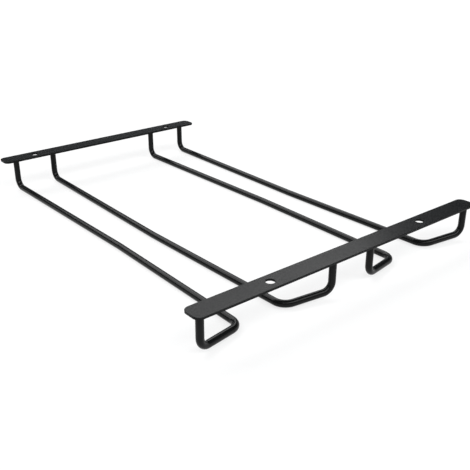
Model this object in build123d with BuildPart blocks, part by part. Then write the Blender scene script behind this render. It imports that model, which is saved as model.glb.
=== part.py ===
from build123d import *
import os

# Under-cabinet wine glass rack: two flat steel straps screwed up against a shelf, with two pairs of
# bent wire rails welded beneath them. A glass hangs by its foot, which slides in over a pair of
# rails with the stem in the slot between them.
# Millimetres. +Z is up, towards the shelf, and -Y is the front, where the glasses go in.
# The origin is the middle of the four screw holes, on the plane that meets the shelf.

# Slots, measured clear between the wires
slot_width = 30.0
waist_nip = 2.5
mouth_width = 100.0
mouth_gap = 30.6
foot_height = 22.0

# Straps
strap_spacing = 311.0
strap_width = 15.0
strap_thickness = 1.5
strap_end_flat = 6.0
strap_edge_chamfer = 0.2
front_strap_overhang = 6.2
rear_strap_overhang = 12.5
screw_hole_diameter = 6.4

# Rails
wire_diameter = 5.0
leg_outset = 1.0
waist_ahead_of_middle = 9.0
lead_in_setback = 6.7
lead_in_rise = 2.1
rear_bend_radius = 7.4
waist_bend_radius = 35.0
lead_in_bend_radius = 9.5
front_bend_radius = 7.0

# Places worked out from the sizes above
slot_pitch = mouth_width + mouth_gap + 2 * wire_diameter
slot_centres = {"left": -slot_pitch / 2, "right": slot_pitch / 2}
rail_offset = (slot_width + wire_diameter) / 2
front_leg_offset = (mouth_width + wire_diameter) / 2
front_y = -strap_spacing / 2
rear_y = strap_spacing / 2
strap_underside = -strap_thickness
rail_level = strap_underside - foot_height - wire_diameter / 2
strap_corner_radius = (strap_width - strap_end_flat) / 2
front_strap_length = slot_pitch + 2 * (front_leg_offset + front_strap_overhang)
rear_strap_length = slot_pitch + 2 * (rail_offset + rear_strap_overhang)

straps = {
    "front_strap": (front_strap_length, front_y),
    "rear_strap": (rear_strap_length, rear_y),
}
bend_radii = (rear_bend_radius, waist_bend_radius, lead_in_bend_radius, front_bend_radius)


def rail_corners(slot_x, side):
    """Corners of one rail: down from the rear strap, along the slot, outwards and up to the front strap."""
    rail_x = slot_x + side * rail_offset
    waist_x = rail_x - side * waist_nip
    leg_x = slot_x + side * front_leg_offset
    rear_leg_y = rear_y + leg_outset
    front_leg_y = front_y - leg_outset
    return (
        (rail_x, rear_leg_y, strap_underside),
        (rail_x, rear_leg_y, rail_level),
        (waist_x, -waist_ahead_of_middle, rail_level),
        (rail_x, front_y + lead_in_setback, rail_level),
        (leg_x, front_leg_y, rail_level + lead_in_rise),
        (leg_x, front_leg_y, strap_underside),
    )


os.makedirs("parts", exist_ok=True)

# Straps: flat bars with rounded ends, broken upper edges and a screw hole over each slot
for strap_name, (strap_length, strap_y) in straps.items():
    with BuildPart() as strap:
        with BuildSketch(Plane.XY.offset(strap_underside)):
            with Locations((0, strap_y)):
                RectangleRounded(strap_length, strap_width, strap_corner_radius)
        extrude(amount=strap_thickness)
        chamfer(strap.faces().sort_by(Axis.Z)[-1].edges(), strap_edge_chamfer)
        with Locations(*[(slot_x, strap_y) for slot_x in slot_centres.values()]):
            Hole(screw_hole_diameter / 2)
    strap.part.label = strap_name
    export_step(strap.part, f"parts/{strap_name}.step")

# Rails: round wire bent in a jig, the two rails of a slot being mirror images
for slot_name, slot_x in slot_centres.items():
    outward = 1 if slot_x > 0 else -1
    for place, side in (("outer", outward), ("inner", -outward)):
        rail_name = f"{slot_name}_{place}_rail"
        with BuildPart() as rail:
            with BuildLine() as route:
                FilletPolyline(*rail_corners(slot_x, side), radius=bend_radii)
            with BuildSketch(Plane(route.line @ 0, z_dir=route.line % 0)):
                Circle(wire_diameter / 2)
            sweep()
        rail.part.label = rail_name
        export_step(rail.part, f"parts/{rail_name}.step")
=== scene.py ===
import bpy
import math
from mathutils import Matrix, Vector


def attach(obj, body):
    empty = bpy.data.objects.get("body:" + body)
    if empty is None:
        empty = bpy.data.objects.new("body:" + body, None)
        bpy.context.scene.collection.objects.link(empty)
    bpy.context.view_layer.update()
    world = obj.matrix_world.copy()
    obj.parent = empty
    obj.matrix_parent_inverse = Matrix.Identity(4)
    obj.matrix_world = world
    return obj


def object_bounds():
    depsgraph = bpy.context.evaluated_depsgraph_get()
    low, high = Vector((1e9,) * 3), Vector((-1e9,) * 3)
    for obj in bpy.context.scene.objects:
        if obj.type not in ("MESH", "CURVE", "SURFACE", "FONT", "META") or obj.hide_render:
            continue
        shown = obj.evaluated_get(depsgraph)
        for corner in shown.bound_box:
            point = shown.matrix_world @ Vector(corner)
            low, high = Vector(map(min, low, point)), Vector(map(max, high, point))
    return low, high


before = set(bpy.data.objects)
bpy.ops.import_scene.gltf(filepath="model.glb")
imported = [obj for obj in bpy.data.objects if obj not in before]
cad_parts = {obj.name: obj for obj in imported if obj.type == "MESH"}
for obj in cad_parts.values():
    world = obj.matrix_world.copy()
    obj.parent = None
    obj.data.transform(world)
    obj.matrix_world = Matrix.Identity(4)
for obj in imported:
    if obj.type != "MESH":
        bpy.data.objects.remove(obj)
cadLow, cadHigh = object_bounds()  # the CAD box, before anything is added
strapNodes = ["front_strap", "rear_strap"]
railNodes = ["left_outer_rail", "left_inner_rail", "right_inner_rail", "right_outer_rail"]
print("frame loaded:", len(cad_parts), "nodes")


# Finishes: black powder coat, one material for the flat bars and one for the wire

strapCoat = {
    "name": "strapCoat",
    "black": (0.0040, 0.0042, 0.0045, 1.0),
    "worn": (0.0062, 0.0064, 0.0067, 1.0),
    "specular": 0.10,
    "roughLow": 0.21,
    "roughHigh": 0.29,
    "cloudScale": 38.0,     # blotches about 25 mm across
    "peelScale": 620.0,     # orange peel about 1.6 mm across
    "peelDepth": 0.000045,
    "grainScale": 2600.0,   # grain about 0.4 mm across
    "grainDepth": 0.000006,
}

wireCoat = {
    "name": "wireCoat",
    "black": (0.0036, 0.0038, 0.0040, 1.0),
    "worn": (0.0056, 0.0058, 0.0060, 1.0),
    "specular": 0.14,
    "roughLow": 0.17,
    "roughHigh": 0.24,
    "cloudScale": 60.0,
    "peelScale": 700.0,
    "peelDepth": 0.000034,
    "grainScale": 2600.0,
    "grainDepth": 0.000006,
}

coatDetail = {"cloud": 4.0, "peel": 1.0, "grain": 0.0}  # octaves of the noises, in every coat


def coatNoise(tree, scale, detail):
    place = tree.nodes.new("ShaderNodeTexCoord")
    noise = tree.nodes.new("ShaderNodeTexNoise")
    noise.inputs["Scale"].default_value = scale
    noise.inputs["Detail"].default_value = detail
    tree.links.new(place.outputs["Object"], noise.inputs["Vector"])
    return noise.outputs["Fac"]


def coatBump(tree, height, depth):
    bump = tree.nodes.new("ShaderNodeBump")
    bump.inputs["Distance"].default_value = depth
    tree.links.new(height, bump.inputs["Height"])
    return bump


def powderCoat(coat):
    material = bpy.data.materials.new(coat["name"])
    material.use_nodes = True
    tree = material.node_tree
    shader = tree.nodes["Principled BSDF"]
    shader.inputs["Specular IOR Level"].default_value = coat["specular"]
    # slow blotches shift the colour and the gloss a little, as sprayed powder does
    cloud = coatNoise(tree, coat["cloudScale"], coatDetail["cloud"])
    tint = tree.nodes.new("ShaderNodeMix")
    tint.data_type = "RGBA"
    tint.inputs["A"].default_value = coat["black"]
    tint.inputs["B"].default_value = coat["worn"]
    tree.links.new(cloud, tint.inputs["Factor"])
    tree.links.new(tint.outputs["Result"], shader.inputs["Base Color"])
    gloss = tree.nodes.new("ShaderNodeMapRange")
    gloss.inputs["To Min"].default_value = coat["roughLow"]
    gloss.inputs["To Max"].default_value = coat["roughHigh"]
    tree.links.new(cloud, gloss.inputs["Value"])
    tree.links.new(gloss.outputs["Result"], shader.inputs["Roughness"])
    # orange peel of the cured powder, with a finer grain on it
    peel = coatNoise(tree, coat["peelScale"], coatDetail["peel"])
    grain = coatNoise(tree, coat["grainScale"], coatDetail["grain"])
    wave = coatBump(tree, peel, coat["peelDepth"])
    pits = coatBump(tree, grain, coat["grainDepth"])
    tree.links.new(wave.outputs["Normal"], pits.inputs["Normal"])
    tree.links.new(pits.outputs["Normal"], shader.inputs["Normal"])
    return material


def coatNodes(names, coat):
    material = powderCoat(coat)
    for name in names:
        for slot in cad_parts[name].material_slots:
            slot.material = material


coatNodes(strapNodes, strapCoat)
coatNodes(railNodes, wireCoat)
print("straps and rails powder coated")


# Welds: a small bead round the top of each leg, where the wire meets its strap, under a duller coat

weldBead = {
    "sides": 32,
    "reach": 0.0011,    # how far the bead spreads over the strap
    "drop": 0.0014,     # how far it runs down the leg
    "hollow": [(0.66, 0.08), (0.36, 0.27), (0.14, 0.58)],  # its face, in shares of reach and drop
    "sink": 0.00014,    # how far its edges go into the steel
    "root": 0.00056,    # how deep its hidden side lies in the wire
    "rootDrop": 0.6,    # how far down that side goes, as a share of drop
    "waver": 0.00012,   # unevenness of the bead
    "seed": 5,
    "softness": 2,      # rounds of subdivision
    "turn": 67.0,       # each copy is turned by this much more, so that no two look alike
}

weldCoat = {
    "name": "weldCoat",
    "black": (0.0034, 0.0036, 0.0038, 1.0),
    "worn": (0.0054, 0.0056, 0.0058, 1.0),
    "specular": 0.12,
    "roughLow": 0.30,
    "roughHigh": 0.44,
    "cloudScale": 220.0,
    "peelScale": 800.0,
    "peelDepth": 0.000060,
    "grainScale": 2200.0,
    "grainDepth": 0.000008,
}


def legTops(railName):
    corners = [corner.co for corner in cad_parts[railName].data.vertices]
    top = max(corner.z for corner in corners)
    flatWithin = 0.00001  # the corners of the wire's cut ends lie this near its top
    cutEnds = [corner for corner in corners if corner.z > top - flatWithin]
    legs = {}
    for end, side in (("front", -1.0), ("rear", 1.0)):
        ring = [corner for corner in cutEnds if corner.y * side > 0.0]
        left = min(corner.x for corner in ring)
        right = max(corner.x for corner in ring)
        near = min(corner.y for corner in ring)
        far = max(corner.y for corner in ring)
        legs[end] = ((left + right) / 2, (near + far) / 2, top, (right - left) / 2)
    return legs


def modelBead(bead, leg):
    x, y, top, wire = leg
    # section of the bead, as distance out from the wire and depth below the strap
    section = [(bead["reach"], -bead["sink"])]
    for outShare, dropShare in bead["hollow"]:
        section.append((bead["reach"] * outShare, bead["drop"] * dropShare))
    section.append((-bead["sink"], bead["drop"]))
    section.append((-bead["root"], bead["drop"] * bead["rootDrop"]))
    section.append((-bead["root"], -bead["sink"]))
    out, depth = section[0]
    start = (x, y, top - depth)
    bpy.ops.object.select_all(action="DESELECT")
    bpy.ops.mesh.primitive_circle_add(vertices=bead["sides"], radius=wire + out, location=start)
    ring = bpy.context.object
    bpy.ops.object.mode_set(mode="EDIT")
    bpy.ops.mesh.select_all(action="SELECT")
    for nextOut, nextDepth in section[1:]:
        step = (0.0, 0.0, depth - nextDepth)
        bpy.ops.mesh.extrude_region_move(TRANSFORM_OT_translate={"value": step})
        draw = (wire + nextOut) / (wire + out)
        bpy.ops.transform.resize(value=(draw, draw, 1.0), center_override=(x, y, top - nextDepth))
        out, depth = nextOut, nextDepth
    # the two open rims meet inside the steel
    bpy.ops.mesh.select_all(action="DESELECT")
    bpy.ops.mesh.select_mode(type="EDGE")
    bpy.ops.mesh.select_non_manifold()
    bpy.ops.mesh.bridge_edge_loops()
    bpy.ops.mesh.select_all(action="SELECT")
    bpy.ops.mesh.normals_make_consistent(inside=False)
    bpy.ops.transform.vertex_random(offset=bead["waver"], seed=bead["seed"])
    bpy.ops.object.mode_set(mode="OBJECT")
    soften = ring.modifiers.new("soften", "SUBSURF")
    soften.levels = bead["softness"]
    soften.render_levels = bead["softness"]
    bpy.ops.object.modifier_apply(modifier="soften")
    bpy.ops.object.shade_smooth()
    bpy.ops.object.transform_apply(location=True, rotation=True, scale=True)
    return ring


def copyBead(first, firstLeg, leg, turn):
    bpy.ops.object.select_all(action="DESELECT")
    first.select_set(True)
    bpy.context.view_layer.objects.active = first
    bpy.ops.object.duplicate(linked=False)
    copy = bpy.context.object
    spot = leg[:3]
    shift = [there - here for there, here in zip(spot, firstLeg)]
    bpy.ops.transform.translate(value=shift)
    bpy.ops.transform.rotate(value=math.radians(turn), orient_axis="Z", center_override=spot)
    bpy.ops.object.transform_apply(location=True, rotation=True, scale=True)
    return copy


def placeWelds(bead, coat):
    material = powderCoat(coat)
    welds = []
    for railName in railNodes:
        for end, leg in legTops(railName).items():
            if welds:
                weld = copyBead(welds[0], firstLeg, leg, len(welds) * bead["turn"])
            else:
                weld = modelBead(bead, leg)
                firstLeg = leg
            weld.name = railName + "_" + end + "_weld"
            weld.data.materials.clear()
            weld.data.materials.append(material)
            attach(weld, "root")
            welds.append(weld)
    return welds


welds = placeWelds(weldBead, weldCoat)
print("welds:", len(welds))


# Floor: pale, and white where it is looked at

floorSheet = {
    "side": 60.0,
    "bounce": (0.80, 0.80, 0.80, 1.0),   # the light it throws back on the rack
    "shade": (0.25, 0.25, 0.25, 1.0),    # the part of its white that takes the shadow
    "glowNear": 0.72,                    # the rest of its white, round the rack
    "glowFar": 1.0,                      # and far off
    "nearEdge": 0.7,                     # between these distances one fades into the other
    "farEdge": 3.0,
}


def paleFloor(sheet):
    material = bpy.data.materials.new("paleFloor")
    material.use_nodes = True
    nodes = material.node_tree.nodes
    links = material.node_tree.links
    nodes.remove(nodes["Principled BSDF"])
    bounce = nodes.new("ShaderNodeBsdfDiffuse")
    bounce.inputs["Color"].default_value = sheet["bounce"]
    shade = nodes.new("ShaderNodeBsdfDiffuse")
    shade.inputs["Color"].default_value = sheet["shade"]
    # the white holds out to the horizon, where the softboxes no longer reach
    place = nodes.new("ShaderNodeTexCoord")
    away = nodes.new("ShaderNodeVectorMath")
    away.operation = "LENGTH"
    links.new(place.outputs["Object"], away.inputs[0])
    fade = nodes.new("ShaderNodeMapRange")
    fade.inputs["From Min"].default_value = sheet["nearEdge"]
    fade.inputs["From Max"].default_value = sheet["farEdge"]
    fade.inputs["To Min"].default_value = sheet["glowNear"]
    fade.inputs["To Max"].default_value = sheet["glowFar"]
    links.new(away.outputs["Value"], fade.inputs["Value"])
    glow = nodes.new("ShaderNodeEmission")
    links.new(fade.outputs["Result"], glow.inputs["Strength"])
    white = nodes.new("ShaderNodeAddShader")
    links.new(shade.outputs["BSDF"], white.inputs[0])
    links.new(glow.outputs["Emission"], white.inputs[1])
    # seen directly, in the gloss of the coat or through glass it is white
    path = nodes.new("ShaderNodeLightPath")
    seen = path.outputs["Is Camera Ray"]
    for ray in ("Is Glossy Ray", "Is Transmission Ray"):
        either = nodes.new("ShaderNodeMath")
        either.operation = "MAXIMUM"
        links.new(seen, either.inputs[0])
        links.new(path.outputs[ray], either.inputs[1])
        seen = either.outputs["Value"]
    top = nodes.new("ShaderNodeMixShader")
    links.new(seen, top.inputs["Fac"])
    links.new(bounce.outputs["BSDF"], top.inputs[1])
    links.new(white.outputs["Shader"], top.inputs[2])
    # clear from below, so that the underside of the rack can be looked at
    side = nodes.new("ShaderNodeNewGeometry")
    clear = nodes.new("ShaderNodeBsdfTransparent")
    sheetMix = nodes.new("ShaderNodeMixShader")
    links.new(side.outputs["Backfacing"], sheetMix.inputs["Fac"])
    links.new(top.outputs["Shader"], sheetMix.inputs[1])
    links.new(clear.outputs["BSDF"], sheetMix.inputs[2])
    links.new(sheetMix.outputs["Shader"], nodes["Material Output"].inputs["Surface"])
    return material


bpy.ops.object.select_all(action="DESELECT")
bpy.ops.mesh.primitive_plane_add(size=floorSheet["side"], location=(0.0, 0.0, cadLow.z))
floor = bpy.context.object
floor.name = "floor"
floor.data.materials.append(paleFloor(floorSheet))
print("floor laid")


# Light: two softboxes that face the rack, in a dim room

keySoftbox = {
    "heading": 6.6,      # degrees from straight behind the rack, towards its right
    "height": 47.0,      # degrees above the floor
    "away": 3.0,
    "width": 5.4,
    "depth": 1.5,
    "glow": 3.7,         # brightness of its face, where 1 is white
}

frontSoftbox = {
    "heading": 199.0,
    "height": 53.0,
    "away": 3.0,
    "width": 6.6,
    "depth": 1.6,
    "glow": 4.3,
}

studioRoom = {
    "walls": (0.064, 0.078, 0.087, 1.0),
    "horizon": (1.0, 1.0, 1.0, 1.0),
    "horizonTop": 6.0,   # degrees above the floor where the pale horizon starts to fade
    "wallsFrom": 9.0,    # and where the walls begin
}


def softbox(name, box):
    turn = math.radians(box["heading"])
    lift = math.radians(box["height"])
    reach = box["away"] * math.cos(lift)
    place = (reach * math.sin(turn), reach * math.cos(turn), box["away"] * math.sin(lift))
    bpy.ops.object.light_add(type="AREA", location=place)
    lamp = bpy.context.object
    lamp.name = name
    lamp.rotation_euler = (lift - math.radians(90.0), 0.0, -turn)
    lamp.data.shape = "RECTANGLE"
    lamp.data.size = box["width"]
    lamp.data.size_y = box["depth"]
    lamp.data.energy = box["glow"] * math.pi * box["width"] * box["depth"]


def roomWorld(room):
    world = bpy.data.worlds.new("studioRoom")
    world.use_nodes = True
    nodes = world.node_tree.nodes
    links = world.node_tree.links
    direction = nodes.new("ShaderNodeTexCoord")
    height = nodes.new("ShaderNodeSeparateXYZ")
    links.new(direction.outputs["Generated"], height.inputs["Vector"])
    rise = nodes.new("ShaderNodeMapRange")
    rise.interpolation_type = "SMOOTHSTEP"
    rise.inputs["From Min"].default_value = math.sin(math.radians(room["horizonTop"]))
    rise.inputs["From Max"].default_value = math.sin(math.radians(room["wallsFrom"]))
    links.new(height.outputs["Z"], rise.inputs["Value"])
    tone = nodes.new("ShaderNodeMix")
    tone.data_type = "RGBA"
    tone.inputs["A"].default_value = room["horizon"]
    tone.inputs["B"].default_value = room["walls"]
    links.new(rise.outputs["Result"], tone.inputs["Factor"])
    links.new(tone.outputs["Result"], nodes["Background"].inputs["Color"])
    return world


softbox("keySoftbox", keySoftbox)
softbox("frontSoftbox", frontSoftbox)
bpy.context.scene.world = roomWorld(studioRoom)
print("softboxes and room set")


# Camera, at the photograph's viewing angle

photoCamera = {
    "place": (-0.31992, -0.42329, 0.19480),
    "heading": -39.760,   # degrees, as the next two
    "dip": 24.341,
    "roll": 0.125,
    "focalPixels": 709.43,
    "imageSide": 470.0,
    "sensor": 36.0,       # mm
    "nearest": 0.01,
}

bpy.ops.object.camera_add(location=photoCamera["place"])
camera = bpy.context.object
camera.name = "photoCamera"
camera.data.sensor_width = photoCamera["sensor"]
camera.data.lens = photoCamera["focalPixels"] / photoCamera["imageSide"] * photoCamera["sensor"]
camera.data.clip_start = photoCamera["nearest"]
tilt = math.radians(90.0 - photoCamera["dip"])  # untilted, it looks straight down
camera.rotation_euler = (tilt, 0.0, math.radians(photoCamera["heading"]))
camera.rotation_euler.rotate_axis("Z", math.radians(photoCamera["roll"]))
bpy.context.scene.camera = camera
bpy.context.scene.view_settings.view_transform = "Standard"
print("camera set")
